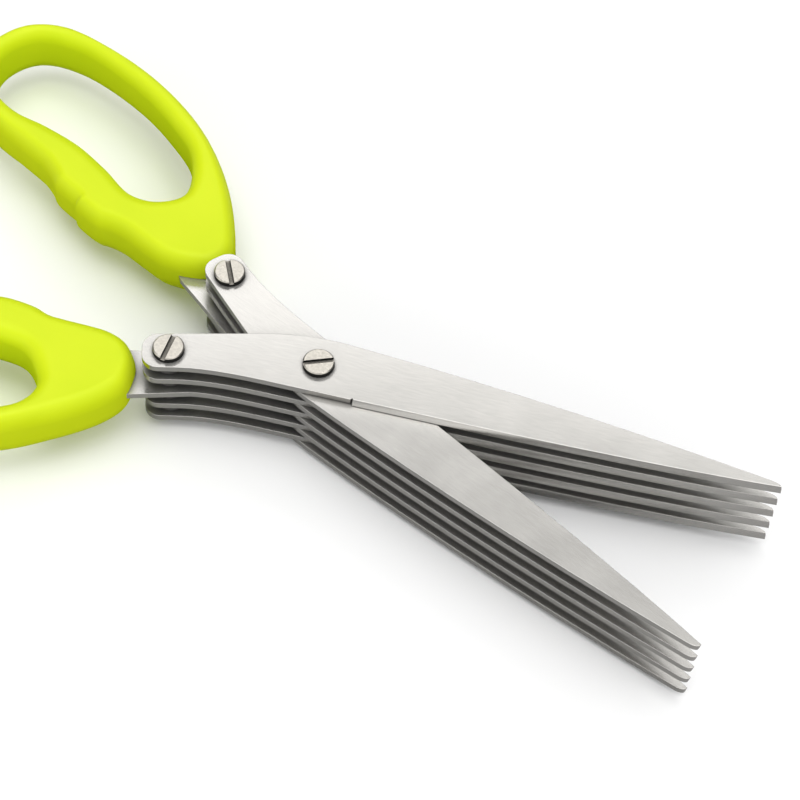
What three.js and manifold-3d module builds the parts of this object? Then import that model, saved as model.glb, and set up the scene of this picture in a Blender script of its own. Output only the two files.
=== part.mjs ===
// Herb scissors: five blades on each half, two moulded handles, one slotted pivot screw.
// Millimetres, +Z up along the pivot axis, +X between the open blades towards their tips,
// origin on the pivot axis at the underside of the pivot nut.
//
// Each half is drawn in its own blade frame: pivot at the origin, sharp corner of the tip on +X,
// back of the blade on +Y, the face that slides on the other half at z = 0, outer face above it.
// The finger half is the same drawing turned over about X, so the two sets of blades interleave.

import * as THREE from 'three';
import * as BufferGeometryUtils from 'three/addons/utils/BufferGeometryUtils.js';
import Module from 'manifold-3d';

const wasm = await Module();
wasm.setup();

// Stack of blades, from the table up
const bladesPerHalf = 5;
const tangLayer = Math.floor(bladesPerHalf / 2);
const bladeThickness = 1.4;
const slideGap = 0.05;
const pivotWasherThickness = 1.05;
const seatGap = 0.02;
const restOpeningAngle = 23.54;

// Blade from the heel to the tip
const tipReach = 88.8;
const tipRoundRun = 2.1;
const tipBackRise = 1.35;
const heelReach = 8.4;
const heelDrop = 6.1;
const cuttingBendShare = 0.69;
const cuttingBow = 1.25;
const shoulderReach = 3;
const shoulderRise = 6.4;
const spineBendShare = 0.475;
const spineBow = 1.95;
const groundWidth = 0.55;
const edgeLand = 0.12;
const heelNotchRadius = 0.4;
const heelRelief = 0.4;
const webReach = 8;
const webDrop = 6.55;

// Rear lug, which carries the rear screw
const rearScrewReach = 28.35;
const rearScrewAngle = 11.5;
const lugHalfWidth = 3.95;
const lugReach = 5;
const lugCornerRadius = 3;
const armInnerAngle = 18.6;
const armOuterAngle = 16.7;
const armInnerBendRun = 9.4;
const armOuterBendDistance = 2;

// Tang of the middle blade, which runs into the handle
const tangInnerOffset = 0.8;
const tangInnerAngle = 13.7;
const tangOuterOffset = 4;
const tangOuterAngle = 20.5;
const tangShoulderReach = 9.5;
const tangReach = 18;
const tangEndWidth = 6.4;
const tangCornerRadius = 1.5;
const tangSideGap = 0.25;
const tangFaceGap = 0.1;

// Slotted screws and their barrel nuts, spacers and washers
const headDiameter = 6;
const headHeight = 1.25;
const headChamfer = 0.22;
const driverSlotWidth = 0.95;
const driverSlotDepth = 0.65;
const pivotSlotAngle = 25.7;
const thumbSlotAngle = 87.8;
const fingerSlotAngle = -39.2;
const shankDiameter = 2.4;
const shankLength = 8;
const nutHeadHeight = 1.2;
const nutChamfer = 0.25;
const barrelDiameter = 4;
const threadGap = 0.1;
const boreGap = 0.1;
const rearSpacerDiameter = 5.6;
const pivotWasherDiameter = 8;

// Moulded handles, their outlines in shares of length and depth from the nose and the inner crest
const handleThickness = 11.2;
const rimEdgeShare = 0.42;
const rimEdgeReach = 2.8;
const rimEdgeDrop = 4.2;
const holeEdgeShare = 0.5;
const holeEdgeReach = 3.2;
const holeEdgeDrop = 3.2;
const edgeTurnReach = 1.5;
const thumbNoseSetback = 1.1;
const thumbLength = 45.4;
const thumbDepth = 32.45;
const thumbCrestDrop = -0.1;
const fingerNoseSetback = 0.5;
const fingerLength = 76.8;
const fingerDepth = 36.35;
const fingerCrestDrop = 0.5;

// From the nose round the inner side, the back of the loop and the outer side
const thumbRimShares = [
  [0, 0.28], [0.01, 0.204], [0.04, 0.141], [0.084, 0.083], [0.165, 0.045], [0.366, 0.043],
  [0.432, 0.04], [0.493, 0.013], [0.564, 0], [0.668, 0.003], [0.858, 0.105], [0.974, 0.315],
  [0.999, 0.567], [0.915, 0.823], [0.738, 0.979], [0.531, 0.971], [0.262, 0.772], [0.066, 0.542],
  [0.005, 0.402],
];
const thumbHoleShares = [
  [0.355, 0.555], [0.399, 0.431], [0.481, 0.331], [0.626, 0.308], [0.772, 0.335], [0.862, 0.422],
  [0.895, 0.555], [0.862, 0.684], [0.771, 0.772], [0.626, 0.801], [0.482, 0.772], [0.389, 0.685],
];
const fingerRimShares = [
  [0, 0.28], [0.01, 0.183], [0.044, 0.119], [0.089, 0.069], [0.131, 0.043], [0.192, 0.041],
  [0.272, 0.041], [0.31, 0.025], [0.336, 0.005], [0.364, 0], [0.409, 0.006], [0.422, 0.012],
  [0.429, 0.028], [0.47, 0.036], [0.512, 0.048], [0.534, 0.072], [0.584, 0.106], [0.609, 0.112],
  [0.687, 0.123], [0.765, 0.132], [0.832, 0.155], [0.901, 0.216], [0.977, 0.366], [1, 0.567],
  [0.974, 0.787], [0.889, 0.939], [0.739, 0.998], [0.575, 1], [0.398, 0.93], [0.256, 0.804],
  [0.141, 0.643], [0.034, 0.43], [0.008, 0.352],
];
const fingerHoleShares = [
  [0.235, 0.468], [0.27, 0.335], [0.335, 0.276], [0.444, 0.315], [0.556, 0.34], [0.669, 0.32],
  [0.777, 0.282], [0.88, 0.339], [0.94, 0.54], [0.917, 0.754], [0.809, 0.865], [0.609, 0.879],
  [0.447, 0.816], [0.311, 0.699],
];

// Facets
const outlineSteps = 14;
const cornerSteps = 6;
const screwSides = 32;
const holeSides = 24;
const rimStepsPerPoint = 4;
const holeStepsPerPoint = 5;
const edgeSteps = 4;

const quarterTurn = 90;
const toRadians = THREE.MathUtils.degToRad;
const toDegrees = THREE.MathUtils.radToDeg;
const v = (x, y) => new THREE.Vector2(x, y);
const along = (angle) => v(Math.cos(toRadians(angle)), Math.sin(toRadians(angle)));
const across = (angle) => along(angle + quarterTurn);
const from = (point, direction, distance) => point.clone().addScaledVector(direction, distance);

// Heights and places that follow from the stack
const layerPitch = 2 * (bladeThickness + slideGap) + pivotWasherThickness + seatGap;
const stackBottom = nutHeadHeight + seatGap;
const stackTop = stackBottom + (bladesPerHalf - 1) * layerPitch + 2 * bladeThickness + slideGap;
const thumbBladeBottom = (layer) => stackTop - layer * layerPitch - bladeThickness;
const fingerBladeTop = (layer) => thumbBladeBottom(layer) - slideGap;
const lowerLayer = bladesPerHalf - 1;
const rearScrew = from(v(0, 0), along(2 * quarterTurn + rearScrewAngle), rearScrewReach);
const holeRadius = barrelDiameter / 2 + boreGap;
const tip = v(tipReach, 0);
const shoulder = v(shoulderReach, shoulderRise);

// Where the line through p at angle a meets the line through q at angle b
function crossing(p, a, q, b) {
  const d = along(a);
  const e = along(b);
  return from(p, d, ((q.x - p.x) * e.y - (q.y - p.y) * e.x) / d.cross(e));
}

// Points of a bend between two points, drawn towards the corner between them
function bend(start, corner, end, steps) {
  return new THREE.QuadraticBezierCurve(start, corner, end).getPoints(steps);
}

// Points of a round corner between the lines from `before` and to `after`
function roundCorner(before, corner, after, radius) {
  const u = before.clone().sub(corner).normalize();
  const w = after.clone().sub(corner).normalize();
  const half = Math.acos(u.dot(w)) / 2;
  const centre = from(corner, u.clone().add(w).normalize(), radius / Math.sin(half));
  const start = from(corner, u, radius / Math.tan(half)).sub(centre);
  const end = from(corner, w, radius / Math.tan(half)).sub(centre);
  const turn = Math.atan2(start.cross(end), start.dot(end));
  return Array.from({ length: cornerSteps + 1 }, (_, k) =>
    start.clone().rotateAround(v(0, 0), (turn * k) / cornerSteps).add(centre));
}

function circle(centre, radius, sides = holeSides) {
  return Array.from({ length: sides }, (_, k) => from(centre, along((4 * quarterTurn * k) / sides), radius));
}

function plate(outline, height, holes = []) {
  const shape = new THREE.Shape(outline);
  shape.holes = holes.map((points) => new THREE.Path(points));
  return new THREE.ExtrudeGeometry(shape, { depth: height, bevelEnabled: false });
}

// Geometry to solid and back, for joining and cutting
function solid(geometry) {
  const bare = geometry.clone();
  bare.deleteAttribute('normal');
  bare.deleteAttribute('uv');
  const merged = BufferGeometryUtils.mergeVertices(bare);
  const corners = merged.index.array;
  const triangles = [];
  for (let k = 0; k < corners.length; k += 3) {
    const [a, b, c] = corners.slice(k, k + 3);
    if (a !== b && b !== c && c !== a) triangles.push(a, b, c);
  }
  return new wasm.Manifold(new wasm.Mesh({
    numProp: 3,
    vertProperties: new Float32Array(merged.attributes.position.array),
    triVerts: new Uint32Array(triangles),
  }));
}

function geometryOf(body) {
  const mesh = body.getMesh();
  const geometry = new THREE.BufferGeometry();
  geometry.setAttribute('position', new THREE.BufferAttribute(mesh.vertProperties, mesh.numProp));
  geometry.setIndex(Array.from(mesh.triVerts));
  geometry.computeVertexNormals();
  return geometry;
}

function cut(geometry, ...cutters) {
  return geometryOf(cutters.reduce((body, cutter) => body.subtract(solid(cutter)), solid(geometry)));
}

// The cutting line runs from the heel to the tip in one long shallow bow
function cuttingLine() {
  const heel = v(heelReach, -heelDrop);
  const corner = heel.clone().lerp(tip, cuttingBendShare).add(v(0, -cuttingBow));
  return bend(heel, corner, tip, outlineSteps);
}

// Back of the blade: round end behind the sharp corner of the tip, then a bow up to the shoulder
function bladeBack() {
  const tipBack = v(tipReach - tipRoundRun, tipBackRise);
  const spineCorner = shoulder.clone().lerp(tipBack, spineBendShare).add(v(0, spineBow));
  const spineEnd = tipBack.clone().sub(spineCorner);
  const tipCorner = crossing(tipBack, toDegrees(spineEnd.angle()), tip, quarterTurn);
  return [
    ...bend(tip, tipCorner, tipBack, cornerSteps).slice(1),
    ...bend(tipBack, spineCorner, shoulder, outlineSteps).slice(1),
  ];
}

// Lines that the arm, the lug and the tang share
function armLines() {
  const innerFoot = from(rearScrew, across(armInnerAngle), lugHalfWidth);
  const outerFoot = from(rearScrew, across(armOuterAngle), -lugHalfWidth);
  const innerCorner = crossing(innerFoot, armInnerAngle, shoulder, 0);
  const innerBend = from(innerCorner, along(armInnerAngle), -armInnerBendRun);
  const webEnd = v(-webReach, -webDrop);
  const heelEdge = v(heelReach - heelNotchRadius, heelRelief - heelDrop);
  const webAngle = toDegrees(heelEdge.clone().sub(webEnd).angle());
  const outerCorner = crossing(outerFoot, armOuterAngle, webEnd, webAngle);
  const axis = (armInnerAngle + armOuterAngle) / 2;
  return { innerFoot, outerFoot, innerCorner, innerBend, webEnd, outerCorner, axis };
}

// Round end of a plain lug, from its inner side to its outer side
function lugEnd({ innerFoot, outerFoot, innerBend, outerCorner, axis }) {
  const end = from(rearScrew, along(axis), -lugReach);
  const innerEnd = crossing(innerFoot, armInnerAngle, end, axis + quarterTurn);
  const outerEnd = crossing(outerFoot, armOuterAngle, end, axis + quarterTurn);
  return [
    ...roundCorner(innerBend, innerEnd, outerEnd, lugCornerRadius),
    ...roundCorner(innerEnd, outerEnd, outerCorner, lugCornerRadius),
    from(outerFoot, along(armOuterAngle), armOuterBendDistance),
  ];
}

// The tang leaves the arm wider than the lug and narrows inside the handle.
// A gap widens it all round, for the slot that takes it.
function tangEnd({ innerBend, outerFoot, axis }, gap = 0) {
  const side = across(axis);
  const innerTop = from(innerBend, along(armInnerAngle), -tangInnerOffset).addScaledVector(side, gap);
  const outerTop = from(outerFoot, along(armOuterAngle), tangOuterOffset).addScaledVector(side, -gap);
  const station = from(rearScrew, along(axis), -tangShoulderReach);
  const innerShoulder = crossing(innerTop, tangInnerAngle, station, axis + quarterTurn);
  const outerShoulder = crossing(outerTop, tangOuterAngle, station, axis + quarterTurn);
  const middle = innerShoulder.clone().lerp(outerShoulder, 1 / 2);
  const end = from(middle, along(axis), tangShoulderReach - tangReach - gap);
  const innerEnd = from(end, side, tangEndWidth / 2 + gap);
  const outerEnd = from(end, side, -tangEndWidth / 2 - gap);
  return [
    innerTop,
    ...roundCorner(innerTop, innerShoulder, innerEnd, tangCornerRadius),
    ...roundCorner(innerShoulder, innerEnd, outerEnd, tangCornerRadius + gap),
    ...roundCorner(innerEnd, outerEnd, outerShoulder, tangCornerRadius + gap),
    ...roundCorner(outerEnd, outerShoulder, outerTop, tangCornerRadius),
    outerTop,
  ];
}

// Small round bite at the heel, where the ground edge begins
function heelNotch() {
  const centre = v(heelReach, heelRelief - heelDrop);
  return Array.from({ length: cornerSteps + 1 }, (_, k) =>
    from(centre, along(2 * quarterTurn - (quarterTurn * k) / cornerSteps), heelNotchRadius));
}

// Outline of a whole blade, anticlockwise from the heel
function bladeOutline(hasTang) {
  const lines = armLines();
  const rear = hasTang ? tangEnd(lines) : lugEnd(lines);
  return [
    ...cuttingLine(),
    ...bladeBack(),
    ...bend(shoulder, lines.innerCorner, lines.innerBend, cornerSteps).slice(1),
    ...rear,
    ...bend(rear.at(-1), lines.outerCorner, lines.webEnd, cornerSteps).slice(1),
    ...heelNotch(),
  ];
}

// Closed body through equal rings of points, capped at both ends
function loft(rings) {
  const count = rings[0].length;
  const index = [];
  for (let ring = 1; ring < rings.length; ring += 1) {
    for (let k = 0; k < count; k += 1) {
      const a = (ring - 1) * count + k;
      const b = (ring - 1) * count + ((k + 1) % count);
      index.push(a, b, b + count, a, b + count, a + count);
    }
  }
  const last = (rings.length - 1) * count;
  for (let k = 2; k < count; k += 1) index.push(0, k, k - 1, last, last + k - 1, last + k);
  const geometry = new THREE.BufferGeometry().setFromPoints(rings.flat());
  return geometry.setIndex(index);
}

// Wedge that grinding takes off the outer face along the cutting line, running out past the tip
function groundWedge() {
  const line = cuttingLine();
  const runOut = line.at(-1).clone().sub(line.at(-2)).setLength(tipRoundRun);
  const path = [...line, tip.clone().add(runOut)];
  const lean = groundWidth / (bladeThickness - edgeLand);
  return loft(path.map((point, k) => {
    const ahead = path[Math.min(k + 1, path.length - 1)].clone().sub(path[Math.max(k - 1, 0)]);
    const inward = v(-ahead.y, ahead.x).normalize();
    const at = (offset, z) => new THREE.Vector3(...from(point, inward, offset), z);
    return [
      at(lean * (2 * bladeThickness - edgeLand), 2 * bladeThickness),
      at(-bladeThickness, 2 * bladeThickness),
      at(-bladeThickness, 0),
      at(-lean * edgeLand, 0),
    ];
  }));
}

function bladeGeometry(hasTang) {
  const holes = [circle(v(0, 0), holeRadius), circle(rearScrew, holeRadius)];
  return cut(plate(bladeOutline(hasTang), bladeThickness, holes), groundWedge());
}

// Smooth closed line through points given in shares of a handle's length and depth
function smoothLine(shares, place, stepsPerPoint) {
  const points = shares.map(([run, drop]) => new THREE.Vector3(...place(run, drop), 0));
  const curve = new THREE.CatmullRomCurve3(points, true, 'centripetal');
  const line = curve.getPoints(points.length * stepsPerPoint).slice(0, -1);
  return line.map((p) => v(p.x, p.y));
}

// Direction along a closed line at point k, as the average over a reach on both sides of it
function directionAt(line, k, reach) {
  const sum = v(0, 0);
  line.forEach((q, n) => {
    const step = line[(n + 1) % line.length].clone().sub(line.at(n - 1));
    sum.addScaledVector(step, Math.max(0, reach - q.distanceTo(line[k])));
  });
  return sum.normalize();
}

// Edge along a line: how far it reaches into the band at each point, in which direction, and how
// far it comes down
function mouldEdge(line, other, inside, bandShare, largestReach, drop) {
  return line.map((point, k) => {
    const ahead = directionAt(line, k, edgeTurnReach);
    const band = Math.min(...other.map((q) => q.distanceTo(point)));
    const reach = Math.min(largestReach, bandShare * band);
    return { point, into: v(-ahead.y, ahead.x).multiplyScalar(inside), reach, drop };
  });
}

// Handle body: level slices between a flat underside and a flat top, with rounded rims
function mouldedHandle(rim, hole) {
  const edges = [
    mouldEdge(rim, hole, 1, rimEdgeShare, rimEdgeReach, rimEdgeDrop),
    mouldEdge(hole, rim, -1, holeEdgeShare, holeEdgeReach, holeEdgeDrop),
  ];
  const turns = Array.from({ length: edgeSteps + 1 }, (_, k) => toRadians((quarterTurn * k) / edgeSteps));
  const levels = [...turns.map((turn) => [turn, -1]).reverse(), ...turns.map((turn) => [turn, 1])];
  const rings = levels.map(([turn, face]) => edges.map((edge) =>
    edge.map(({ point, into, reach, drop }) => {
      const place = from(point, into, reach * (1 - Math.cos(turn)));
      const z = face * (handleThickness / 2 - drop * (1 - Math.sin(turn)));
      return new THREE.Vector3(place.x, place.y, z);
    })));
  const count = rim.length + hole.length;
  const index = [];
  const loops = [[0, rim.length], [rim.length, hole.length]];
  for (let ring = 1; ring < rings.length; ring += 1) {
    for (const [start, length] of loops) {
      for (let k = 0; k < length; k += 1) {
        const a = (ring - 1) * count + start + k;
        const b = (ring - 1) * count + start + ((k + 1) % length);
        if (start === 0) index.push(a, b, b + count, a, b + count, a + count);
        else index.push(b, a, a + count, b, a + count, b + count);
      }
    }
  }
  const flat = (points) => points.map((p) => v(p.x, p.y));
  const top = (rings.length - 1) * count;
  const [rimTop, holeTop] = rings.at(-1).map(flat);
  for (const [a, b, c] of THREE.ShapeUtils.triangulateShape(rimTop, [holeTop])) {
    index.push(top + a, top + b, top + c, a, c, b);
  }
  const geometry = new THREE.BufferGeometry().setFromPoints(rings.flat(2));
  return geometry.setIndex(index);
}

// Slot that the tang fills
function tangSlot() {
  const outline = tangEnd(armLines(), tangSideGap);
  const height = bladeThickness + 2 * tangFaceGap;
  return plate(outline, height).translate(0, 0, -height / 2);
}

// Place of an outline's point, given in shares of a handle's length and depth
function handlePlace(setback, length, depth, crestDrop) {
  const nose = rearScrew.x - lugReach - setback;
  return (run, drop) => v(nose - run * length, -crestDrop - drop * depth);
}

function handleGeometry(place, rimShares, holeShares) {
  const rim = smoothLine(rimShares, place, rimStepsPerPoint);
  const hole = smoothLine(holeShares, place, holeStepsPerPoint);
  return cut(mouldedHandle(rim, hole), tangSlot());
}

// Turned pieces: profile in radius and height, turned about Z
function turned(profile) {
  return new THREE.LatheGeometry(profile, screwSides).rotateX(Math.PI / 2);
}

// Screw head from z = 0 up, with its driver slot along X and its shank below
function screwGeometry() {
  const head = headDiameter / 2;
  const shank = shankDiameter / 2;
  const profile = [
    v(0, -shankLength), v(shank, -shankLength), v(shank, 0), v(head, 0),
    v(head, headHeight - headChamfer), v(head - headChamfer, headHeight), v(0, headHeight),
  ];
  const slot = new THREE.BoxGeometry(2 * headDiameter, driverSlotWidth, 2 * driverSlotDepth);
  return cut(turned(profile), slot.translate(0, 0, headHeight));
}

// Barrel nut with its underside at z = 0; the barrel fills the blades' holes up to `height`
function nutGeometry(height) {
  const head = headDiameter / 2;
  const barrel = barrelDiameter / 2;
  const bore = shankDiameter / 2 + threadGap;
  const floor = height - shankLength - threadGap;
  return turned([
    v(0, 0), v(head - nutChamfer, 0), v(head, nutChamfer), v(head, nutHeadHeight),
    v(barrel, nutHeadHeight), v(barrel, height), v(bore, height), v(bore, floor), v(0, floor),
  ]);
}

function ringGeometry(diameter, height) {
  return plate(circle(v(0, 0), diameter / 2), height, [circle(v(0, 0), holeRadius)]);
}

const scissors = new THREE.Group();
const thumbHalf = new THREE.Group();
const fingerHalf = new THREE.Group();
thumbHalf.rotation.z = toRadians(restOpeningAngle / 2);
fingerHalf.rotation.z = -toRadians(restOpeningAngle / 2);
scissors.add(thumbHalf, fingerHalf);

function add(parent, name, geometry, look, x, y, z) {
  const mesh = new THREE.Mesh(geometry, new THREE.MeshStandardMaterial(look));
  mesh.name = name;
  mesh.position.set(x, y, z);
  parent.add(mesh);
  return mesh;
}

const steel = { color: 0xd9d6d1, roughness: 0.34, metalness: 1 };
const screwSteel = { color: 0xd2cbc0, roughness: 0.26, metalness: 1 };
const lime = { color: 0xd6ea2a, roughness: 0.46, metalness: 0 };

// Blades, the finger half's turned over so that its sliding faces look up
const plainBlade = bladeGeometry(false);
const tangBlade = bladeGeometry(true);
for (let layer = 0; layer < bladesPerHalf; layer += 1) {
  const shape = layer === tangLayer ? tangBlade : plainBlade;
  add(thumbHalf, `thumb_blade_${layer + 1}`, shape, steel, 0, 0, thumbBladeBottom(layer));
  const lower = add(fingerHalf, `finger_blade_${layer + 1}`, shape, steel, 0, 0, fingerBladeTop(layer));
  lower.rotation.x = Math.PI;
}

// Handles, each level with the middle blade of its half
const tangMiddle = bladeThickness / 2;
const thumbPlace = handlePlace(thumbNoseSetback, thumbLength, thumbDepth, thumbCrestDrop);
const fingerPlace = handlePlace(fingerNoseSetback, fingerLength, fingerDepth, fingerCrestDrop);
const thumbShape = handleGeometry(thumbPlace, thumbRimShares, thumbHoleShares);
const fingerShape = handleGeometry(fingerPlace, fingerRimShares, fingerHoleShares);
add(thumbHalf, 'thumb_handle', thumbShape, lime, 0, 0, thumbBladeBottom(tangLayer) + tangMiddle);
const fingerHandle = add(fingerHalf, 'finger_handle', fingerShape, lime,
  0, 0, fingerBladeTop(tangLayer) - tangMiddle);
fingerHandle.rotation.x = Math.PI;

// Spacers round the rear screws, and washers round the pivot, between the layers
const spacer = ringGeometry(rearSpacerDiameter, layerPitch - bladeThickness - 2 * seatGap);
const washer = ringGeometry(pivotWasherDiameter, pivotWasherThickness);
for (let layer = 1; layer < bladesPerHalf; layer += 1) {
  const thumbSeat = thumbBladeBottom(layer) + bladeThickness + seatGap;
  const fingerSeat = fingerBladeTop(layer) + seatGap;
  add(thumbHalf, `thumb_spacer_${layer}`, spacer, steel, rearScrew.x, rearScrew.y, thumbSeat);
  add(fingerHalf, `finger_spacer_${layer}`, spacer, steel, rearScrew.x, -rearScrew.y, fingerSeat);
  add(thumbHalf, `pivot_washer_${layer}`, washer, steel, 0, 0, thumbSeat);
}

// Screws from above and barrel nuts from below, through the pivot and both lugs
function addScrew(parent, name, slotAngle, place, blades) {
  const nutBottom = blades.bottom - seatGap - nutHeadHeight;
  add(parent, `${name}_nut`, nutGeometry(blades.top - nutBottom), screwSteel, place.x, place.y, nutBottom);
  const screw = add(parent, `${name}_screw`, screwGeometry(), screwSteel,
    place.x, place.y, blades.top + seatGap);
  screw.rotation.z = toRadians(slotAngle);
}

const thumbTop = thumbBladeBottom(0) + bladeThickness;
const fingerTop = fingerBladeTop(0);
const thumbBottom = thumbBladeBottom(lowerLayer);
const fingerBottom = fingerBladeTop(lowerLayer) - bladeThickness;
addScrew(thumbHalf, 'pivot', pivotSlotAngle, v(0, 0), { top: thumbTop, bottom: fingerBottom });
addScrew(thumbHalf, 'thumb', thumbSlotAngle, rearScrew, { top: thumbTop, bottom: thumbBottom });
addScrew(fingerHalf, 'finger', fingerSlotAngle, v(rearScrew.x, -rearScrew.y),
  { top: fingerTop, bottom: fingerBottom });

export default scissors;
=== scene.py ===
import math

import bmesh
import bpy
from bpy.props import FloatProperty, FloatVectorProperty, PointerProperty
from mathutils import Matrix, Vector
from mathutils.geometry import tessellate_polygon


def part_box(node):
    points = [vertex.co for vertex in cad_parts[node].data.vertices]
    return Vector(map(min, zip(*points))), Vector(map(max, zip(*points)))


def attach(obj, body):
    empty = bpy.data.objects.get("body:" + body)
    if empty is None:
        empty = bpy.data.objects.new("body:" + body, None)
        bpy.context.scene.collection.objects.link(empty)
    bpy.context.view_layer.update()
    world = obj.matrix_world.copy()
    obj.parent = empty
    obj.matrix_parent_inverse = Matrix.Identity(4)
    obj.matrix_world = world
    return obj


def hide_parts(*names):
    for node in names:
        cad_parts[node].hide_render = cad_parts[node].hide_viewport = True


bl_info = {
    "name": "Herb scissors",
    "version": (1, 0, 0),
    "blender": (4, 5, 0),
    "location": "3D View > Sidebar > Scissors",
    "description": "Dresses herb scissors with brushed blades, slotted screws and handles",
    "category": "Object",
}

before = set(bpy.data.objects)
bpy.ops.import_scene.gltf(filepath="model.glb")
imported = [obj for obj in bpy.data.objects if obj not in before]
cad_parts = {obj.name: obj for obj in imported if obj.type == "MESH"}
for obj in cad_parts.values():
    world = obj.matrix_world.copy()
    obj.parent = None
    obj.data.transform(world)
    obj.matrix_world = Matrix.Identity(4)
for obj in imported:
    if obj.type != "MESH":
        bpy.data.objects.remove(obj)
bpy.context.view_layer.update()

MM = 0.001
WHITE = (1, 1, 1, 1)
# The blades from the top, with the one that goes on as a tang last
BLADE_LAYERS = (1, 2, 4, 5, 3)
SPACER_LAYERS = (1, 2, 3, 4)

# Softening of a solid's edges: corners closer than the first are one, faces that meet more flatly
# than the second are one, and edges sharper than the third are rounded.
MERGE_DISTANCE = 0.0001 * MM
FLAT_ANGLE = math.radians(.4)
SHARP_ANGLE = math.radians(20)

# Upward part of a face's direction, from which it is a level face of a screw, and how far below
# the top a slot's floor is at least
HEAD_TILT = .5
SLOT_LEAST_DEPTH = 0.3 * MM

EDGE_STEPS = 10
LEAST_SPLINE_STEPS = 4
BEVEL_STEPS = 2
RING_SIDES = 64
RING_CORNER_SHARE = .3

# Width and length of the marks on the turned steel
RING_MARKS = (0.4 * MM, 0.1 * MM)
HEAD_MARKS = (0.5 * MM, 0.7 * MM)
HEAD_MARK_TURN = .6

# The marks are a fine noise with a wider one under it, whose place is pressed together by the
# stretch. The shares are what each adds to the tone.
FINE_SHARE = .6
WIDE_SHARE = .4
WIDE_STRETCH = (.5, .3, .3)

# Least and most tone of each finish, and of its roughness against the roughness that is set
WORN_TONES = (.97, 1.03)
RING_TONE_REACH = .06
BRUSHED_ROUGHNESS_SHARES = (.9, 1.15)
HEAD_ROUGHNESS_SHARES = (.8, 1.3)
PLASTIC_ROUGHNESS_SHARES = (.9, 1.1)
BRIGHT_MOTTLE_SHARE = .5

# Reach of a noise on both sides of a half that counts as its range
NOISE_REACH = .2
BLOTCH_REACH = .15

# Strength and depth of each finish's bump
BRUSHED_BUMP = (.12, 0.01 * MM)
RING_BUMP = (.2, 0.02 * MM)
HEAD_BUMP = (.25, 0.04 * MM)
PLASTIC_BUMP = (.12, 0.03 * MM)

# Open share of a point's surroundings, from which the painted shade in a hollow and its dulling
# fade
PAINTED_SHADE_FADE = (.3, .88)
DULL_FADE = (.55, 1)

# Features to a metre of each noise
WEAR_SCALE = 90.0
BLOTCH_SCALE = 2200.0
CLOUD_SCALE = 45.0
TEXTURE_SCALE = 2600.0
FLOOR_SCALE = 3.0

PLASTIC_IOR = 1.49
# Reach of red, green and blue light under the plastic's surface
PLASTIC_BLEED = (1.6 * MM, 1.4 * MM, 0.3 * MM)
# Red, green and blue of the plastic's deeper clouds against its colour
CLOUD_TINT = (.93, .96, .8)
# Level part of a face's direction over which the plastic's gloss rises from none on the walls to
# full; the walls' lost gloss is painted shade.
LEVEL_FADE = (.2, .95)

# The light tent. A height is the upward part of a direction. Each pair runs from where a light
# begins to where it is full, by height or by how far a direction points its way.
OVERHEAD_HEIGHTS = (.70, 1)
OVERHEAD_FALL = 1.8
DIMMED_WAY = (-.41, .91, 0)
DIMMED_SIDES = (.1, .4)
DIMMED_SHARE = .25
BACK_WAY = (.52, .85, 0)
BACK_SIDES = (-.22, .10)
BACK_FOOT = (.45, .69)
BACK_TOP = (.835, .78)
FRONT_WAY = (.18, -.98, 0)
FRONT_SIDES = (-.12, .6)
FRONT_HEIGHTS = (.76, .41)

FLOOR_HALF_SIDE = 4
FLOOR_ROUGHNESS = .8
FLOOR_GLOSS = .2
FLOOR_CLOUD_SHARE = .99
SENSOR_WIDTH = 36
NEAREST_SEEN = .01

# Outlines of the handles, in shares of length and depth from the nose and the inner crest,
# from the nose round the inner side, the back of the loop and the outer side
THUMB_RIM_SHARES = [
    (0, .28), (.01, .204), (.04, .141), (.084, .083), (.165, .045), (.366, .043),
    (.432, .04), (.493, .013), (.564, 0), (.668, .003), (.858, .105), (.974, .315),
    (.999, .567), (.915, .823), (.738, .979), (.531, .971), (.262, .772), (.066, .542),
    (.005, .402),
]
THUMB_HOLE_SHARES = [
    (.355, .555), (.399, .431), (.481, .331), (.626, .308), (.772, .335), (.862, .422),
    (.895, .555), (.862, .684), (.771, .772), (.626, .801), (.482, .772), (.389, .685),
]
FINGER_RIM_SHARES = [
    (0, .28), (.01, .183), (.044, .119), (.089, .069), (.131, .043), (.192, .041),
    (.272, .041), (.31, .025), (.336, .005), (.364, 0), (.409, .006), (.422, .012),
    (.429, .028), (.47, .036), (.512, .048), (.534, .072), (.584, .106), (.609, .112),
    (.687, .123), (.765, .132), (.832, .155), (.901, .216), (.977, .366), (1, .567),
    (.974, .787), (.889, .939), (.739, .998), (.575, 1), (.398, .93), (.256, .804),
    (.141, .643), (.034, .43), (.008, .352),
]
FINGER_HOLE_SHARES = [
    (.235, .468), (.27, .335), (.335, .276), (.444, .315), (.556, .34), (.669, .32),
    (.777, .282), (.88, .339), (.94, .54), (.917, .754), (.809, .865), (.609, .879),
    (.447, .816), (.311, .699),
]


def length(name, description, default):
    return FloatProperty(name=name, description=description, default=default, unit="LENGTH",
                         precision=5)


def share(name, description, default):
    return FloatProperty(name=name, description=description, default=default, subtype="FACTOR",
                         min=0, max=1)


def angle(name, description, default):
    return FloatProperty(name=name, description=description, default=math.radians(default),
                         subtype="ANGLE", unit="ROTATION")


def colour(name, description, default):
    return FloatVectorProperty(name=name, description=description, default=default,
                               subtype="COLOR", size=3, min=0, max=1)


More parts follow.
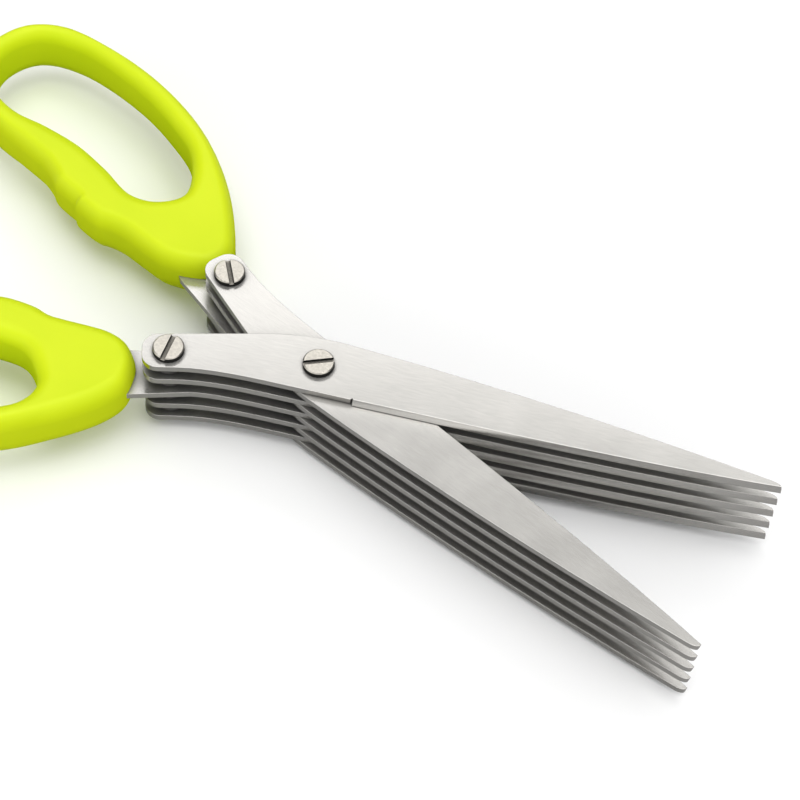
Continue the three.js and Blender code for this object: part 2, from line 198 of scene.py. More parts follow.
class BladeSettings(bpy.types.PropertyGroup):
    opening: angle("Opening", "Angle between the tip lines of the two halves as they lie", 23.54)
    edge_width: length("Edge width", "Width of the softened edge round each blade", 0.07 * MM)
    colour: colour("Steel", "Colour of the brushed blades", (.62, .605, .575))
    roughness: share("Roughness", "Roughness of the brushed blades", .15)
    mark_width: length("Mark width", "Width of one brushing mark", 0.1 * MM)
    mark_length: length("Mark length", "Length of one brushing mark", 1.6 * MM)
    marks: share("Marks", "Strength of the brushing marks", .05)
    ring_bore: length("Ring bore", "Radius of the hole through a spacer or a washer", 2.1 * MM)
    ring_edge: length("Ring edge", "Width of the softened edges of a spacer or a washer", 0.12 * MM)
    # Painted shade: the spacers and washers are darkened for their place deep between the lugs and
    # plates.
    ring_painted_shade: share("Ring shade", "Brightness of a spacer or a washer against a face", .38)
    ring_roughness: share("Ring roughness", "Roughness of a spacer or a washer", .5)
    # Painted shade: the hollow reach and shade darken the steel's colour where ambient occlusion
    # finds it closed in, between the plates and round the heads.
    hollow_reach: length("Hollow reach", "Reach over which a hollow is darkened", 3.5 * MM)
    painted_hollow_shade: share("Hollow shade", "Brightness left at the bottom of a hollow", .2)
    hollow_dulling: share("Hollow dulling", "Roughness added in a hollow", .4)
    # Painted glow: the haze is emission over all the steel, standing in for light scattered from
    # the white surroundings.
    painted_haze: share("Haze", "Light that the white surroundings scatter over the steel", .007)


class ScrewSettings(bpy.types.PropertyGroup):
    colour: colour("Steel", "Colour of the screw heads", (.62, .585, .52))
    roughness: share("Roughness", "Roughness of the turned heads", .27)
    edge_width: length("Edge width", "Width of the softened edges of a head", 0.05 * MM)
    # Painted shade: a head's side and slot walls, and its slot floor, are darker copies of the
    # top's steel, at these shares of its brightness.
    side_painted_shade: share("Side shade", "Brightness of a head's side against its top", .03)
    side_roughness: share("Side roughness", "Roughness of a head's side", .35)
    slot_painted_shade: share("Slot shade", "Brightness of a slot's floor against the head's top", .8)
    slot_roughness: share("Slot roughness", "Roughness of a slot's floor", .4)
    mottle: share("Mottle", "Strength of the blotches on a head", .15)


class HandleSettings(bpy.types.PropertyGroup):
    thickness: length("Thickness", "Thickness of both handles", 11.2 * MM)
    edge_turn: length("Edge turn", "Reach over which an edge's direction is averaged", 1.5 * MM)
    rim_share: share("Rim share", "Share of a band that its outer edge takes", .42)
    rim_reach: length("Rim reach", "Most that an outer edge reaches into a band", 2.8 * MM)
    rim_drop: length("Rim drop", "Height over which an outer edge is rounded", 4.2 * MM)
    hole_share: share("Hole share", "Share of a band that its edge at the hole takes", .5)
    hole_reach: length("Hole reach", "Most that an edge at a hole reaches into a band", 3.2 * MM)
    hole_drop: length("Hole drop", "Height over which an edge at a hole is rounded", 3.2 * MM)
    spacing: length("Spacing", "Distance between the points of an outline", 0.45 * MM)
    skin: length("Skin", "Depth of the surface inside the corners of the solid's facets", 0.04 * MM)
    nose_reach: length("Nose reach", "Distance of the lugs' ends behind the pivot", 32.781 * MM)
    thumb_setback: length("Thumb setback", "Thumb handle's nose behind the lug's end", 1.1 * MM)
    thumb_length: length("Thumb length", "Length of the thumb handle", 45.4 * MM)
    thumb_depth: length("Thumb depth", "Depth of the thumb handle", 32.45 * MM)
    thumb_drop: length("Thumb crest drop", "Thumb crest below the tip line", -0.1 * MM)
    finger_setback: length("Finger setback", "Finger handle's nose behind the lug's end", 0.5 * MM)
    finger_length: length("Finger length", "Length of the finger handle", 76.8 * MM)
    finger_depth: length("Finger depth", "Depth of the finger handle", 36.35 * MM)
    finger_drop: length("Finger crest drop", "Finger crest below the tip line", 0.5 * MM)
    colour: colour("Plastic", "Colour of the lime plastic", (.71, .84, .016))
    roughness: share("Roughness", "Roughness of the moulded plastic", .42)
    # Painted shade: the gloss fades to none on the walls by the way a face points, which dims the
    # walls' reflection.
    gloss: share("Gloss", "Gloss of the level faces, from which the walls fall off to dull", .2)
    translucence: share("Translucence", "Share of the light that goes under the surface", .12)
    # Painted glow: the plastic's emission, seen only by diffuse rays, stands in for light that the
    # translucent plastic passes on to the floor round it.
    painted_glow: share("Glow", "Light that the translucent plastic passes on to what lies round it", .16)


class StageSettings(bpy.types.PropertyGroup):
    camera_place: FloatVectorProperty(name="Camera", description="Place of the camera", size=3,
                                      default=(.11545, -.21840, .35556), subtype="TRANSLATION",
                                      unit="LENGTH", precision=5)
    azimuth: angle("Azimuth", "Direction that the camera looks in, from +Y", 24.20)
    elevation: angle("Elevation", "Angle that the camera looks down", 54.42)
    roll: angle("Roll", "Turn of the camera about its own axis", -4.90)
    lens: FloatProperty(name="Lens", description="Focal length on a 36 mm sensor", default=99.82)
    floor: colour("Floor", "Colour of the floor", (.97, .97, .97))
    bounce: share("Floor bounce", "Brightness of the floor for the object's own light", .35)
    lift: share("Floor lift", "Light added to the floor for the camera, towards white", .03)
    overhead: FloatProperty(name="Overhead", description="Brightness of the tent overhead",
                            default=3.45)
    back: FloatProperty(name="Back", description="Brightness of the panel behind the object",
                        default=1.63)
    front: FloatProperty(name="Front", description="Brightness of the fill from the camera's side",
                         default=1.31)


# Shared making of meshes and nodes


def settings(name):
    return getattr(bpy.context.scene, "scissors_" + name)


def finished(obj, body, replaced):
    """Hide the solids that a piece replaces and hang the piece on the body that it rides on."""
    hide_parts(*replaced)
    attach(obj, body)


def new_object(name, data):
    obj = bpy.data.objects.new(name, data)
    bpy.context.scene.collection.objects.link(obj)
    return obj


def new_mesh(name, form):
    """Mesh of a bmesh, which is freed."""
    mesh = bpy.data.meshes.new(name)
    form.to_mesh(mesh)
    form.free()
    return mesh


def half_matrix(half):
    """Turn from a half's own frame, with the tip on +X and its back on +Y, to the part's frame."""
    turn = settings("blades").opening / 2
    if half == "thumb":
        return Matrix.Rotation(turn, 4, "Z")
    return Matrix.Rotation(-turn, 4, "Z") @ Matrix.Rotation(math.pi, 4, "X")


class Nodes:
    """Short hand for a node tree: adds nodes, and sets or links their inputs."""

    # Sockets of a Mix node that mixes colours
    MIX_FACTOR, MIX_A, MIX_B, MIX_RESULT = 0, 6, 7, 2

    def __init__(self, tree):
        self.tree = tree

    def add(self, kind, values=None, **attributes):
        node = self.tree.nodes.new(kind)
        for key, value in attributes.items():
            setattr(node, key, value)
        for key, value in (values or {}).items():
            self.set(node, key, value)
        return node

    def set(self, node, key, value):
        if hasattr(value, "is_output"):
            self.tree.links.new(value, node.inputs[key])
        else:
            node.inputs[key].default_value = value

    def math(self, operation, a, b=0.0):
        return self.add("ShaderNodeMath", {0: a, 1: b}, operation=operation).outputs[0]

    def product(self, first, *others):
        for other in others:
            first = self.math("MULTIPLY", first, other)
        return first

    def mix(self, factor, a, b, blend="MIX"):
        node = self.add("ShaderNodeMix", data_type="RGBA", blend_type=blend)
        self.set(node, self.MIX_FACTOR, factor)
        self.set(node, self.MIX_A, a)
        self.set(node, self.MIX_B, b)
        return node.outputs[self.MIX_RESULT]

    def smooth(self, value, low, high):
        """Smooth step from 0 at low to 1 at high."""
        node = self.add("ShaderNodeMapRange", {0: value, 1: low, 2: high},
                        interpolation_type="SMOOTHSTEP")
        return node.outputs[0]

    def remap(self, value, low, high, to_low, to_high):
        node = self.add("ShaderNodeMapRange", {0: value, 1: low, 2: high, 3: to_low, 4: to_high})
        return node.outputs[0]

    def spread(self, noise, to_low, to_high, reach=NOISE_REACH):
        """Noise, which keeps near a half, spread over a range."""
        return self.remap(noise, .5 - reach, .5 + reach, to_low, to_high)

    def noise(self, place, scale, detail, roughness=.5):
        return self.add("ShaderNodeTexNoise", {
            "Vector": place, "Scale": scale, "Detail": detail, "Roughness": roughness}).outputs[0]

    def object_place(self):
        return self.add("ShaderNodeTexCoord").outputs["Object"]


def group_tree(name, kind, sockets):
    tree = bpy.data.node_groups.new(name, kind)
    for label, in_out, socket_type, default in sockets:
        socket = tree.interface.new_socket(name=label, in_out=in_out, socket_type=socket_type)
        if default is not None:
            socket.default_value = default
    nodes = Nodes(tree)
    return nodes, nodes.add("NodeGroupInput"), nodes.add("NodeGroupOutput")


def grain_group():
    """Short marks along X: a height, a tone and a slow change of wear."""
    name = "brushing marks"
    if name in bpy.data.node_groups:
        return bpy.data.node_groups[name]
    nodes, given, out = group_tree(name, "ShaderNodeTree", [
        ("Place", "INPUT", "NodeSocketVector", None),
        ("Mark width", "INPUT", "NodeSocketFloat", 0.1 * MM),
        ("Mark length", "INPUT", "NodeSocketFloat", 1.6 * MM),
        ("Height", "OUTPUT", "NodeSocketFloat", None),
        ("Tone", "OUTPUT", "NodeSocketFloat", None),
        ("Wear", "OUTPUT", "NodeSocketFloat", None),
    ])
    fine = nodes.math("DIVIDE", 1.0, given.outputs["Mark width"])
    slow = nodes.math("DIVIDE", 1.0, given.outputs["Mark length"])
    scale = nodes.add("ShaderNodeCombineXYZ", {0: slow, 1: fine, 2: fine}).outputs[0]
    place = nodes.add("ShaderNodeVectorMath", {0: given.outputs["Place"], 1: scale},
                      operation="MULTIPLY").outputs[0]
    marks = nodes.noise(place, 1.0, 2.0)
    wide_place = nodes.add("ShaderNodeVectorMath", {0: place, 1: WIDE_STRETCH},
                           operation="MULTIPLY").outputs[0]
    wide = nodes.noise(wide_place, 1.0, 1.0)
    wear = nodes.noise(given.outputs["Place"], WEAR_SCALE, 3.0, .55)
    tone = nodes.math("ADD", nodes.product(marks, FINE_SHARE),
                      nodes.product(wide, WIDE_SHARE))
    nodes.set(out, "Height", marks)
    nodes.set(out, "Tone", tone)
    nodes.set(out, "Wear", wear)
    return nodes.tree


def grain(nodes, turn, width, run):
    """Brushing marks along X after a turn about Z."""
    place = nodes.add("ShaderNodeMapping", {
        "Vector": nodes.object_place(), "Rotation": (0, 0, turn)}).outputs[0]
    group = nodes.add("ShaderNodeGroup", node_tree=grain_group())
    nodes.set(group, "Place", place)
    nodes.set(group, "Mark width", width)
    nodes.set(group, "Mark length", run)
    return group.outputs


def parts_of(value, shares):
    return [value * part for part in shares]


def scaled(nodes, colour_rgb, factor):
    """Colour times a factor that a node gives."""
    grey = nodes.add("ShaderNodeCombineColor", {0: factor, 1: factor, 2: factor}).outputs[0]
    return nodes.mix(1.0, tuple(colour_rgb) + (1,), grey, "MULTIPLY")


def bumped(nodes, height, strength, depth):
    return nodes.add("ShaderNodeBump", {
        "Strength": strength, "Distance": depth, "Height": height}).outputs[0]


def metal(nodes, tint, tone, roughness, normal):
    """Steel of the given tint and tone, with painted shade and more roughness in hollows, and a
    faint painted glow over it that stands in for light scattered from the white surroundings.
    """
    values = settings("blades")
    # Painted shade: the colour is darkened where the steel is closed in; the dulling only adds
    # roughness.
    hollow = nodes.add("ShaderNodeAmbientOcclusion", {"Distance": values.hollow_reach}, samples=8)
    openness = hollow.outputs["AO"]
    clear = nodes.mix(nodes.smooth(openness, *PAINTED_SHADE_FADE), (values.painted_hollow_shade,) * 3 + (1,), WHITE)
    dull = nodes.remap(nodes.smooth(openness, *DULL_FADE), 0, 1, values.hollow_dulling, 0)
    shader = nodes.add("ShaderNodeBsdfPrincipled", {
        "Base Color": scaled(nodes, tint, nodes.product(tone, clear)), "Metallic": 1.0,
        "Roughness": nodes.math("ADD", dull, roughness), "Normal": normal,
        "Emission Color": WHITE, "Emission Strength": values.painted_haze})
    nodes.add("ShaderNodeOutputMaterial", {"Surface": shader.outputs[0]})


def new_material(name):
    material = bpy.data.materials.new(name)
    material.use_nodes = True
    material.node_tree.nodes.clear()
    return material, Nodes(material.node_tree)


def brushed_material(name, turn):
    """Steel with fine marks along the blade."""
    values = settings("blades")
    material, nodes = new_material(name)
    marks = grain(nodes, turn, values.mark_width, values.mark_length)
    tone = nodes.spread(marks["Tone"], 1 - values.marks, 1 + values.marks)
    worn = nodes.spread(marks["Wear"], *WORN_TONES)
    rough = nodes.spread(marks["Wear"], *parts_of(values.roughness, BRUSHED_ROUGHNESS_SHARES))
    metal(nodes, values.colour, nodes.product(tone, worn), rough,
          bumped(nodes, marks["Height"], *BRUSHED_BUMP))
    return material


def ring_material():
    """Turned spacers and washers, darkened by painted shade for their place deep between the lugs
    and plates.
    """
    values = settings("blades")
    material, nodes = new_material("turned spacer")
    marks = grain(nodes, 0, *RING_MARKS)
    tone = nodes.spread(marks["Tone"], values.ring_painted_shade - RING_TONE_REACH,
                        values.ring_painted_shade + RING_TONE_REACH)
    metal(nodes, values.colour, tone, values.ring_roughness,
          bumped(nodes, marks["Height"], *RING_BUMP))
    return material


def head_material(name, share_of_top, roughness):
    """Blotchy turned steel, at a share of the brightness of a head's top; a share below one is
    painted shade on a side, a slot wall or a slot floor.
    """
    values = settings("screws")
    material, nodes = new_material(name)
    marks = grain(nodes, HEAD_MARK_TURN, *HEAD_MARKS)
    blotch = nodes.noise(nodes.object_place(), BLOTCH_SCALE, 4.0, .6)
    tone = nodes.spread(blotch, share_of_top * (1 - values.mottle),
                        share_of_top * (1 + values.mottle * BRIGHT_MOTTLE_SHARE), BLOTCH_REACH)
    rough = nodes.spread(marks["Wear"], *parts_of(roughness, HEAD_ROUGHNESS_SHARES))
    metal(nodes, values.colour, tone, rough, bumped(nodes, blotch, *HEAD_BUMP))
    return material


def plastic_material():
    """Satin moulded plastic with a faint cloudiness and a fine texture. Its gloss fades to none on
    the walls by the way a face points, a painted shade on their reflection, and diffuse rays see a
    painted glow in its colour, which stands in for light that the translucent plastic passes on
    round it.
    """
    values = settings("handles")
    material, nodes = new_material("lime plastic")
    coords = nodes.object_place()
    cloud = nodes.noise(coords, CLOUD_SCALE, 3.0)
    fine = nodes.noise(coords, TEXTURE_SCALE, 2.0)
    base = tuple(values.colour)
    deep = tuple(part * tint for part, tint in zip(base, CLOUD_TINT))
    shade = nodes.mix(nodes.spread(cloud, 0, 1, BLOTCH_REACH), base + (1,), deep + (1,))
    rough = nodes.spread(cloud, *parts_of(values.roughness, PLASTIC_ROUGHNESS_SHARES))
    facing = nodes.add("ShaderNodeTexCoord").outputs["Normal"]
    level = nodes.math("ABSOLUTE", nodes.add("ShaderNodeSeparateXYZ", {0: facing}).outputs[2])
    gloss = nodes.product(nodes.smooth(level, *LEVEL_FADE), values.gloss)
    # Painted glow: emission in the plastic's colour that only diffuse rays see, lighting what lies
    # round the handles.
    painted_glow_rays = nodes.add("ShaderNodeLightPath").outputs["Is Diffuse Ray"]
    shader = nodes.add("ShaderNodeBsdfPrincipled", {
        "Base Color": shade, "Roughness": rough, "Normal": bumped(nodes, fine, *PLASTIC_BUMP),
        "IOR": PLASTIC_IOR, "Specular IOR Level": gloss,
        "Subsurface Weight": values.translucence, "Subsurface Radius": PLASTIC_BLEED,
        "Subsurface Scale": 1.0, "Emission Color": shade,
        "Emission Strength": nodes.product(painted_glow_rays, values.painted_glow)})
    nodes.add("ShaderNodeOutputMaterial", {"Surface": shader.outputs[0]})
    return material


def weighted_normals(mesh):
    """Shade smooth, with each point's normal led by the large faces round it."""
    normals = [Vector() for _ in mesh.vertices]
    for face in mesh.polygons:
        for index in face.vertices:
            normals[index] += face.normal * face.area
    mesh.polygons.foreach_set("use_smooth", [True] * len(mesh.polygons))
    mesh.normals_split_custom_set_from_vertices([n.normalized() for n in normals])


def softened_copy(node, width, name, looks):
    """Copy of a solid with every sharp edge rounded. All its faces have the first of the looks."""
    form = bmesh.new()
    form.from_mesh(bpy.data.objects[node].data)
    bmesh.ops.remove_doubles(form, verts=form.verts, dist=MERGE_DISTANCE)
    bmesh.ops.dissolve_limit(form, angle_limit=FLAT_ANGLE, verts=form.verts, edges=form.edges)
    form.normal_update()
    for face in form.faces:
        face.material_index = 0
    sharp = [e for e in form.edges
             if len(e.link_faces) == 2 and e.calc_face_angle(0) > SHARP_ANGLE]
    bmesh.ops.bevel(form, geom=sharp, offset=width, segments=BEVEL_STEPS, profile=.5,
                    affect="EDGES", clamp_overlap=False, material=-1)
    mesh = new_mesh(name, form)
    for look in looks:
        mesh.materials.append(look)
    return mesh


# Handles


def smooth_loop(points, spacing):
    """Points on a closed centripetal spline, at least four between one given point and the next."""
    total = len(points)
    line = []
    for k in range(total):
        a, b, c, d = (points[(k + j - 1) % total] for j in range(4))
        before, run, after = ((q - p).length ** .5 for p, q in ((a, b), (b, c), (c, d)))
        start = run * ((b - a) / before - (c - a) / (before + run) + (c - b) / run)
        end = run * ((c - b) / run - (d - b) / (run + after) + (d - c) / after)
        count = max(LEAST_SPLINE_STEPS, round((c - b).length / spacing))
        for j in range(count):
            t = j / count
            line.append(b * (2 * t ** 3 - 3 * t ** 2 + 1) + start * (t ** 3 - 2 * t ** 2 + t)
                        + c * (3 * t ** 2 - 2 * t ** 3) + end * (t ** 3 - t ** 2))
    return line


def direction_at(line, k, reach):
    """Direction along a closed line at point k, averaged over a reach on both sides of it."""
    total = Vector((0, 0))
    for n, spot in enumerate(line):
        weight = reach - (spot - line[k]).length
        if weight > 0:
            total += (line[(n + 1) % len(line)] - line[n - 1]) * weight
    return total.normalized()


def cap(form, rings, up):
    """Flat face between a rim ring and a hole ring."""
    verts = [vert for ring in rings for vert in ring]
    for corners in tessellate_polygon([[vert.co for vert in ring] for ring in rings]):
        a, b, c = (verts[n] for n in corners)
        facing_up = (b.co - a.co).cross(c.co - a.co).z > 0
        form.faces.new((a, b, c) if facing_up == up else (a, c, b))


def moulded_handle(half, rim, hole, plastic):
    """Body between a rim and a hole, with edges rounded as far as the band between them allows."""
    values = settings("handles")
    top = values.thickness / 2
    turns = [math.pi / 2 * k / EDGE_STEPS for k in range(EDGE_STEPS + 1)]
    levels = [(turn, -1) for turn in reversed(turns)] + [(turn, 1) for turn in turns]
    form = bmesh.new()
    stacks = []
    for line, other, inside, band_share, most, drop in (
            (rim, hole, 1, values.rim_share, values.rim_reach, values.rim_drop),
            (hole, rim, -1, values.hole_share, values.hole_reach, values.hole_drop)):
        stack = [[] for _ in levels]
        for k, point in enumerate(line):
            ahead = direction_at(line, k, values.edge_turn)
            into = Vector((-ahead.y, ahead.x)) * inside
            reach = min(most, band_share * min((q - point).length for q in other))
            for ring, (turn, face) in zip(stack, levels):
                place = point + into * (values.skin + reach * (1 - math.cos(turn)))
                z = face * (top - drop * (1 - math.sin(turn)))
                ring.append(form.verts.new((*place, z)))
        for low, high in zip(stack, stack[1:]):
            for k in range(len(low)):
                n = (k + 1) % len(low)
                quad = (low[k], low[n], high[n], high[k])
                form.faces.new(quad if inside > 0 else tuple(reversed(quad)))
        stacks.append(stack)
    cap(form, [stack[0] for stack in stacks], False)
    cap(form, [stack[-1] for stack in stacks], True)
    mesh = new_mesh(f"{half}_grip", form)
    low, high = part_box(f"{half}_handle")
    middle = (low[2] + high[2]) / 2
    mesh.transform(Matrix.Translation((0, 0, middle)) @ half_matrix(half))
    mesh.materials.append(plastic)
    weighted_normals(mesh)
    finished(new_object(mesh.name, mesh), f"{half}_half", [f"{half}_handle"])


class SCISSORS_OT_handles(bpy.types.Operator):
    """Mould both handles round the tangs"""
    bl_idname = "scissors.handles"
    bl_label = "Handles"

    def execute(self, context):
        values = settings("handles")
        plastic = plastic_material()
        for half, setback, run, depth, drop, rim_shares, hole_shares in (
                ("thumb", values.thumb_setback, values.thumb_length, values.thumb_depth,
                 values.thumb_drop, THUMB_RIM_SHARES, THUMB_HOLE_SHARES),
                ("finger", values.finger_setback, values.finger_length, values.finger_depth,
                 values.finger_drop, FINGER_RIM_SHARES, FINGER_HOLE_SHARES)):
            nose = -values.nose_reach - setback
            rim, hole = (
                smooth_loop([Vector((nose - x * run, -drop - y * depth)) for x, y in shares],
                            values.spacing)
                for shares in (rim_shares, hole_shares))
            moulded_handle(half, rim, hole, plastic)
        return {"FINISHED"}


# Blades, spacers and washers


class SCISSORS_OT_blades(bpy.types.Operator):
    """Brush the blades and soften their edges"""
    bl_idname = "scissors.blades"
    bl_label = "Blades"

    def execute(self, context):
        values = settings("blades")
        for half, turn in (("thumb", -values.opening / 2), ("finger", values.opening / 2)):
            steel = brushed_material(f"{half} brushed face", turn)
            for layer in BLADE_LAYERS:
                node = f"{half}_blade_{layer}"
                mesh = softened_copy(node, values.edge_width, f"{half}_steel_{layer}", [steel])
                weighted_normals(mesh)
                finished(new_object(mesh.name, mesh), f"{half}_half", [node])
        return {"FINISHED"}


def stack_tree():
    """Repeats a piece up the stack, at the given pitch."""
    nodes, given, out = group_tree("repeat up the stack", "GeometryNodeTree", [
        ("Geometry", "INPUT", "NodeSocketGeometry", None),
        ("Count", "INPUT", "NodeSocketInt", 4),
        ("Pitch", "INPUT", "NodeSocketFloat", 3.97 * MM),
        ("Material", "INPUT", "NodeSocketMaterial", None),
        ("Geometry", "OUTPUT", "NodeSocketGeometry", None),
    ])
    step = nodes.add("ShaderNodeCombineXYZ", {2: given.outputs["Pitch"]}).outputs[0]
    line = nodes.add("GeometryNodeMeshLine", {"Count": given.outputs["Count"], "Offset": step},
                     mode="OFFSET")
    spread = nodes.add("GeometryNodeInstanceOnPoints", {
        "Points": line.outputs[0], "Instance": given.outputs["Geometry"]})
    whole = nodes.add("GeometryNodeRealizeInstances", {0: spread.outputs[0]})
    dressed = nodes.add("GeometryNodeSetMaterial", {
        "Geometry": whole.outputs[0], "Material": given.outputs["Material"]})
    nodes.set(out, "Geometry", dressed.outputs[0])
    return nodes.tree


def grown(obj, tree, inputs):
    """Run a geometry tree on an object and keep the result as a plain mesh."""
    modifier = obj.modifiers.new(tree.name, "NODES")
    modifier.node_group = tree
    for item in tree.interface.items_tree:
        if item.in_out == "INPUT" and item.name in inputs:
            modifier[item.identifier] = inputs[item.name]
    evaluated = obj.evaluated_get(bpy.context.evaluated_depsgraph_get())
    mesh = bpy.data.meshes.new_from_object(evaluated)
    obj.modifiers.remove(modifier)
    seed = obj.data
    obj.data = mesh
    mesh.name = obj.name
    bpy.data.meshes.remove(seed)
    return obj


def ring_mesh(name, centre, outer, low, high):
    """Spacer or washer with softened outer edges round the given centre."""
    values = settings("blades")
    inner, edge = values.ring_bore, values.ring_edge
    corner = edge * RING_CORNER_SHARE
    profile = [(inner, low), (outer - edge, low), (outer - corner, low + corner),
               (outer, low + edge), (outer, high - edge), (outer - corner, high - corner),
               (outer - edge, high), (inner, high)]
    form = bmesh.new()
    rings = []
    for k in range(RING_SIDES):
        turn = 2 * math.pi * k / RING_SIDES
        out = Vector((math.cos(turn), math.sin(turn)))
        rings.append([form.verts.new((*(centre + out * radius), z)) for radius, z in profile])
    for a, b in zip(rings, rings[1:] + rings[:1]):
        for k in range(len(profile)):
            n = (k + 1) % len(profile)
            form.faces.new((a[k], b[k], b[n], a[n]))
    return new_mesh(name, form)


class SCISSORS_OT_rings(bpy.types.Operator):
    """Turn the spacers between the lugs and the washers round the pivot"""
    bl_idname = "scissors.rings"
    bl_label = "Spacers and washers"

    def execute(self, context):
        tree = stack_tree()
        steel = ring_material()
        for kind, body in (("thumb_spacer", "thumb_half"), ("finger_spacer", "finger_half"),
                           ("pivot_washer", "thumb_half")):
            boxes = [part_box(f"{kind}_{layer}") for layer in SPACER_LAYERS]
            low, high = min(boxes, key=lambda b: b[0][2])
            pitch = (max(b[0][2] for b in boxes) - low[2]) / (len(boxes) - 1)
            centre = (Vector(low[:2]) + Vector(high[:2])) / 2
            outer = (high[0] - low[0]) / 2
            piece = new_object(f"{kind}s", ring_mesh(f"{kind}s", centre, outer, low[2], high[2]))
            grown(piece, tree, {"Count": len(boxes), "Pitch": pitch, "Material": steel})
            weighted_normals(piece.data)
            finished(piece, body, [f"{kind}_{layer}" for layer in SPACER_LAYERS])
        return {"FINISHED"}


def head_part(face, high):
    """Which part of a screw a face lies on: 0 top, 1 side or slot wall, 2 slot floor. Parts 1 and 2
    get painted shade.
    """
    if abs(face.normal.z) < HEAD_TILT:
        return 1
    return 2 if face.normal.z > HEAD_TILT and face.center.z < high - SLOT_LEAST_DEPTH else 0


class SCISSORS_OT_screws(bpy.types.Operator):
    """Finish the slotted screws and their nuts"""
    bl_idname = "scissors.screws"
    bl_label = "Screws and nuts"

    def execute(self, context):
        values = settings("screws")
        looks = (head_material("turned head", 1, values.roughness),
                 head_material("head side", values.side_painted_shade, values.side_roughness),
                 head_material("driver slot", values.slot_painted_shade, values.slot_roughness))
        for name, body in (("pivot", "thumb_half"), ("thumb", "thumb_half"),
                           ("finger", "finger_half")):
            for part in ("screw", "nut"):
                node = f"{name}_{part}"
                mesh = softened_copy(node, values.edge_width, f"{node}_turned", looks)
                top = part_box(node)[1][2]
                for face in mesh.polygons:
                    face.material_index = head_part(face, top)
                weighted_normals(mesh)
                finished(new_object(mesh.name, mesh), body, [node])
        return {"FINISHED"}


# Stage


def light_tent():
    """White tent round the object: bright overhead, a lit panel behind the object up to middle
    height and a low fill from the camera's side. The camera itself sees plain white."""
    values = settings("stage")
    world = bpy.data.worlds.new("light tent")
    world.use_nodes = True
    world.node_tree.nodes.clear()
    nodes = Nodes(world.node_tree)
    way = nodes.add("ShaderNodeTexCoord").outputs["Generated"]
    height = nodes.add("ShaderNodeSeparateXYZ", {0: way}).outputs[2]

    def side(direction, low, high):
        towards = nodes.add("ShaderNodeVectorMath", {0: way, 1: direction}, operation="DOT_PRODUCT")
        return nodes.smooth(towards.outputs["Value"], low, high)

    rise = nodes.math("POWER", nodes.remap(height, *OVERHEAD_HEIGHTS, 0, 1), OVERHEAD_FALL)
    dimmed = nodes.product(side(DIMMED_WAY, *DIMMED_SIDES), DIMMED_SHARE)
    overhead = nodes.product(rise, nodes.math("SUBTRACT", 1.0, dimmed), values.overhead)
    panel = nodes.product(nodes.smooth(height, *BACK_FOOT), nodes.smooth(height, *BACK_TOP))
    back = nodes.product(panel, side(BACK_WAY, *BACK_SIDES), values.back)
    front = nodes.product(nodes.smooth(height, *FRONT_HEIGHTS), side(FRONT_WAY, *FRONT_SIDES),
                          values.front)
    lit = nodes.math("ADD", overhead, nodes.math("ADD", back, front))
    seen = nodes.add("ShaderNodeLightPath").outputs["Is Camera Ray"]
    hidden = nodes.math("SUBTRACT", 1.0, seen)
    strength = nodes.math("ADD", seen, nodes.product(hidden, lit))
    shell = nodes.add("ShaderNodeBackground", {"Color": WHITE, "Strength": strength})
    nodes.add("ShaderNodeOutputWorld", {"Surface": shell.outputs[0]})
    return world


def floor_material():
    """Pale floor for the camera, and a duller one for the light that the object gets from it."""
    values = settings("stage")
    material, nodes = new_material("pale floor")
    cloud = nodes.noise(nodes.object_place(), FLOOR_SCALE, 2.0)
    pale = tuple(values.floor)
    pale_shade = nodes.mix(cloud, pale + (1,), tuple(c * FLOOR_CLOUD_SHARE for c in pale) + (1,))
    seen = nodes.add("ShaderNodeLightPath").outputs["Is Camera Ray"]
    shade = nodes.mix(seen, (values.bounce,) * 3 + (1,), pale_shade)
    shader = nodes.add("ShaderNodeBsdfPrincipled", {
        "Base Color": shade, "Roughness": FLOOR_ROUGHNESS, "Specular IOR Level": FLOOR_GLOSS,
        "Emission Color": WHITE, "Emission Strength": nodes.product(seen, values.lift)})
    nodes.add("ShaderNodeOutputMaterial", {"Surface": shader.outputs[0]})
    return material


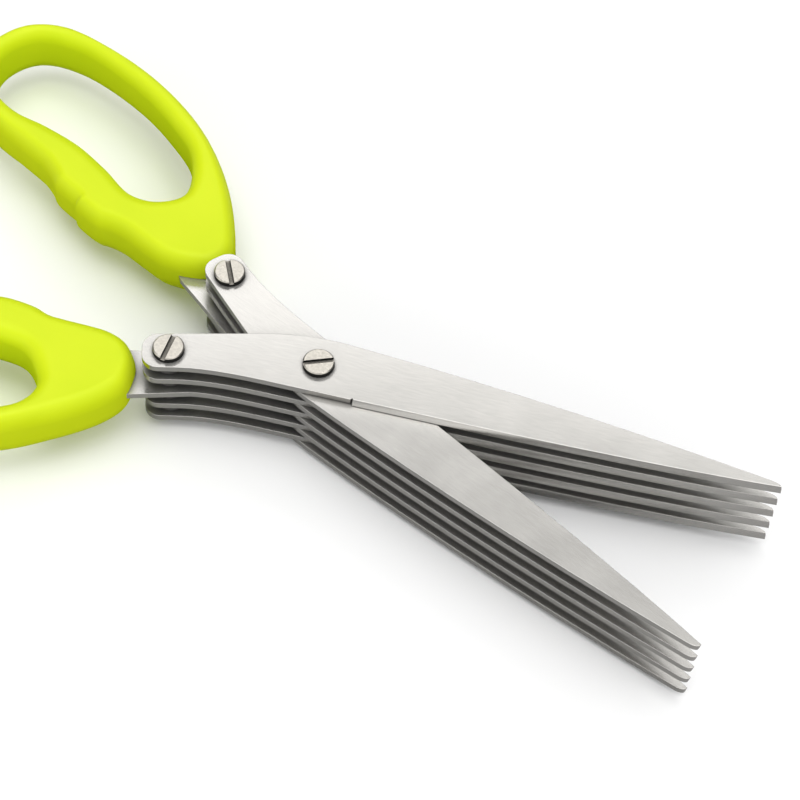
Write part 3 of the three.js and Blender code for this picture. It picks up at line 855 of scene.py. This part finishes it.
def placed_camera():
    """Camera at the given place, which looks down at the given angles."""
    values = settings("stage")
    lens = bpy.data.cameras.new("camera")
    lens.lens = values.lens
    lens.sensor_width = SENSOR_WIDTH
    lens.clip_start = NEAREST_SEEN
    camera = new_object("camera", lens)
    azimuth, elevation, roll = values.azimuth, values.elevation, values.roll
    ahead = Vector((-math.sin(azimuth) * math.cos(elevation),
                    math.cos(azimuth) * math.cos(elevation), -math.sin(elevation)))
    right = Vector((math.cos(azimuth), math.sin(azimuth), 0))
    down = ahead.cross(right)
    across = right * math.cos(roll) + down * math.sin(roll)
    up = right * math.sin(roll) - down * math.cos(roll)
    camera.matrix_world = Matrix((
        (across.x, up.x, -ahead.x, values.camera_place[0]),
        (across.y, up.y, -ahead.y, values.camera_place[1]),
        (across.z, up.z, -ahead.z, values.camera_place[2]),
        (0, 0, 0, 1)))
    return camera


class SCISSORS_OT_stage(bpy.types.Operator):
    """Lay the pale floor, the light tent and the camera"""
    bl_idname = "scissors.stage"
    bl_label = "Stage"

    def execute(self, context):
        scene = context.scene
        scene.view_settings.view_transform = "Standard"
        form = bmesh.new()
        bmesh.ops.create_grid(form, x_segments=1, y_segments=1, size=FLOOR_HALF_SIDE)
        mesh = new_mesh("floor", form)
        mesh.materials.append(floor_material())
        new_object("floor", mesh)
        scene.world = light_tent()
        scene.camera = placed_camera()
        return {"FINISHED"}


class SCISSORS_PT_panel(bpy.types.Panel):
    """Steps that dress the scissors"""
    bl_idname = "SCISSORS_PT_panel"
    bl_label = "Herb scissors"
    bl_space_type = "VIEW_3D"
    bl_region_type = "UI"
    bl_category = "Scissors"

    def draw(self, context):
        for step in STEPS:
            box = self.layout.box()
            box.operator(step.bl_idname)
            group = step.bl_idname.split(".")[1]
            if group in GROUPS:
                values = settings(group)
                for name in values.__annotations__:
                    box.prop(values, name)


STEPS = (SCISSORS_OT_handles, SCISSORS_OT_blades, SCISSORS_OT_rings, SCISSORS_OT_screws,
         SCISSORS_OT_stage)
GROUPS = {"handles": HandleSettings, "blades": BladeSettings, "screws": ScrewSettings,
          "stage": StageSettings}


def register():
    for cls in (*GROUPS.values(), *STEPS, SCISSORS_PT_panel):
        bpy.utils.register_class(cls)
    for name, cls in GROUPS.items():
        setattr(bpy.types.Scene, "scissors_" + name, PointerProperty(type=cls))


def unregister():
    for name in GROUPS:
        delattr(bpy.types.Scene, "scissors_" + name)
    for cls in (SCISSORS_PT_panel, *reversed(STEPS), *reversed(list(GROUPS.values()))):
        bpy.utils.unregister_class(cls)


def main():
    register()
    bpy.ops.scissors.handles()
    bpy.ops.scissors.blades()
    bpy.ops.scissors.rings()
    bpy.ops.scissors.screws()
    bpy.ops.scissors.stage()


if __name__ == "__main__":
    main()
